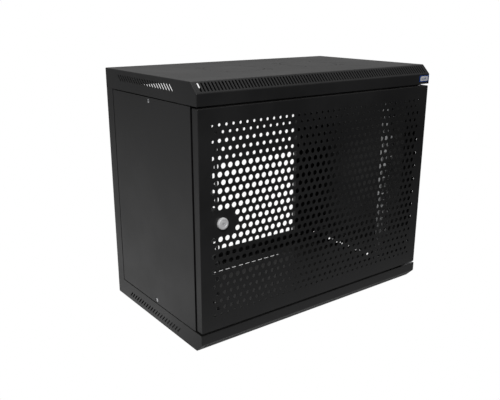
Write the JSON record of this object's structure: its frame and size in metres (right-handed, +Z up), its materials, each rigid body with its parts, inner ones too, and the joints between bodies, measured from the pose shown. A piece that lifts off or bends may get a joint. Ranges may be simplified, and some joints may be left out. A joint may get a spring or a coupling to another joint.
{
  "type": "wall-mount 19 inch network cabinet",
  "caption": "Compact wall-mount network rack cabinet with a perforated hinged door, cam lock, removable sides, vented covers and sliding rack rails.",
  "frame": {"origin": "middle of the base plate's underside", "axes": "+X to the hinge side, seen from the door; +Y to the wall; +Z up"},
  "size_m": [0.6, 0.356, 0.501],
  "materials": {
    "powder_coat": "satin",
    "zinc": "satin",
    "chrome": "polished",
    "spring_steel": "satin",
    "badge": "gloss"
  },
  "bodies": {
    "cabinet_frame": {"base_cover": "powder_coat", "top_cover": "powder_coat", "front_beam_base": "powder_coat", "front_beam_top": "powder_coat", "post_front_left": "powder_coat", "post_front_right": "powder_coat", "post_rear_left": "powder_coat", "post_rear_right": "powder_coat", "side_bracket_lower_left": "powder_coat", "side_bracket_lower_right": "powder_coat", "side_bracket_upper_left": "powder_coat", "side_bracket_upper_right": "powder_coat", "hinge_plate_base": "zinc", "hinge_plate_top": "zinc", "frame_screw_base_left": "zinc", "frame_screw_base_right": "zinc", "frame_screw_top_left": "zinc", "frame_screw_top_right": "zinc", "earth_stud_frame": "zinc", "badge_plate": "badge"},
    "door": {"door_panel": "powder_coat", "hinge_pin_bottom": "chrome", "hinge_bracket_top": "powder_coat", "hinge_bracket_bottom": "powder_coat", "lock_barrel": "chrome", "lock_nut": "zinc", "earth_stud_door": "zinc"},
    "hinge_latch": {"hinge_pin_top": "chrome", "hinge_spring": "spring_steel"},
    "lock_core": {"lock_plug": "chrome", "lock_cam": "zinc", "cam_screw": "zinc"},
    "rack_rail_left": {"rail_left": "zinc", "rail_screw_lower_left": "zinc", "rail_screw_upper_left": "zinc"},
    "side_cover_left": {"side_panel_left": "powder_coat"},
    "fastener_lower_left": {"panel_fastener_lower_left": "chrome"},
    "fastener_upper_left": {"panel_fastener_upper_left": "chrome"},
    "rack_rail_right": {"rail_right": "zinc", "rail_screw_lower_right": "zinc", "rail_screw_upper_right": "zinc"},
    "side_cover_right": {"side_panel_right": "powder_coat"},
    "fastener_lower_right": {"panel_fastener_lower_right": "chrome"},
    "fastener_upper_right": {"panel_fastener_upper_right": "chrome"}
  },
  "joints": [
    {"name": "door_hinge", "type": "hinge", "parent": "cabinet_frame", "child": "door", "pos_m": [0.28, -0.166, 0.2505], "axis": [0, 0, 1], "range_deg": [0, 180]},
    {"name": "hinge_latch_slide", "type": "slide", "parent": "door", "child": "hinge_latch", "axis": [0, 0, -1], "range_m": [0, 0.0095], "stiffness_N_per_m": 900, "springref_m": -0.004, "deforming": ["hinge_spring"]},
    {"name": "lock_turn", "type": "hinge", "parent": "door", "child": "lock_core", "pos_m": [-0.252, -0.15, 0.2495], "axis": [0, 1, 0], "range_deg": [0, 90]},
    {"name": "rail_left_slide", "type": "slide", "parent": "cabinet_frame", "child": "rack_rail_left", "axis": [0, 1, 0], "range_m": [0, 0.12]},
    {"name": "side_cover_left_pull", "type": "slide", "parent": "cabinet_frame", "child": "side_cover_left", "axis": [-1, 0, 0], "range_m": [0, 0.15]},
    {"name": "fastener_lower_left_turn", "type": "hinge", "parent": "side_cover_left", "child": "fastener_lower_left", "pos_m": [-0.3, -0.005, 0.0465], "axis": [1, 0, 0], "range_deg": [0, 90]},
    {"name": "fastener_upper_left_turn", "type": "hinge", "parent": "side_cover_left", "child": "fastener_upper_left", "pos_m": [-0.3, -0.005, 0.4525], "axis": [1, 0, 0], "range_deg": [0, 90]},
    {"name": "rail_right_slide", "type": "slide", "parent": "cabinet_frame", "child": "rack_rail_right", "axis": [0, 1, 0], "range_m": [0, 0.12]},
    {"name": "side_cover_right_pull", "type": "slide", "parent": "cabinet_frame", "child": "side_cover_right", "axis": [1, 0, 0], "range_m": [0, 0.15]},
    {"name": "fastener_lower_right_turn", "type": "hinge", "parent": "side_cover_right", "child": "fastener_lower_right", "pos_m": [0.3, -0.005, 0.0465], "axis": [1, 0, 0], "range_deg": [0, 90]},
    {"name": "fastener_upper_right_turn", "type": "hinge", "parent": "side_cover_right", "child": "fastener_upper_right", "pos_m": [0.3, -0.005, 0.4525], "axis": [1, 0, 0], "range_deg": [0, 90]}
  ]
}
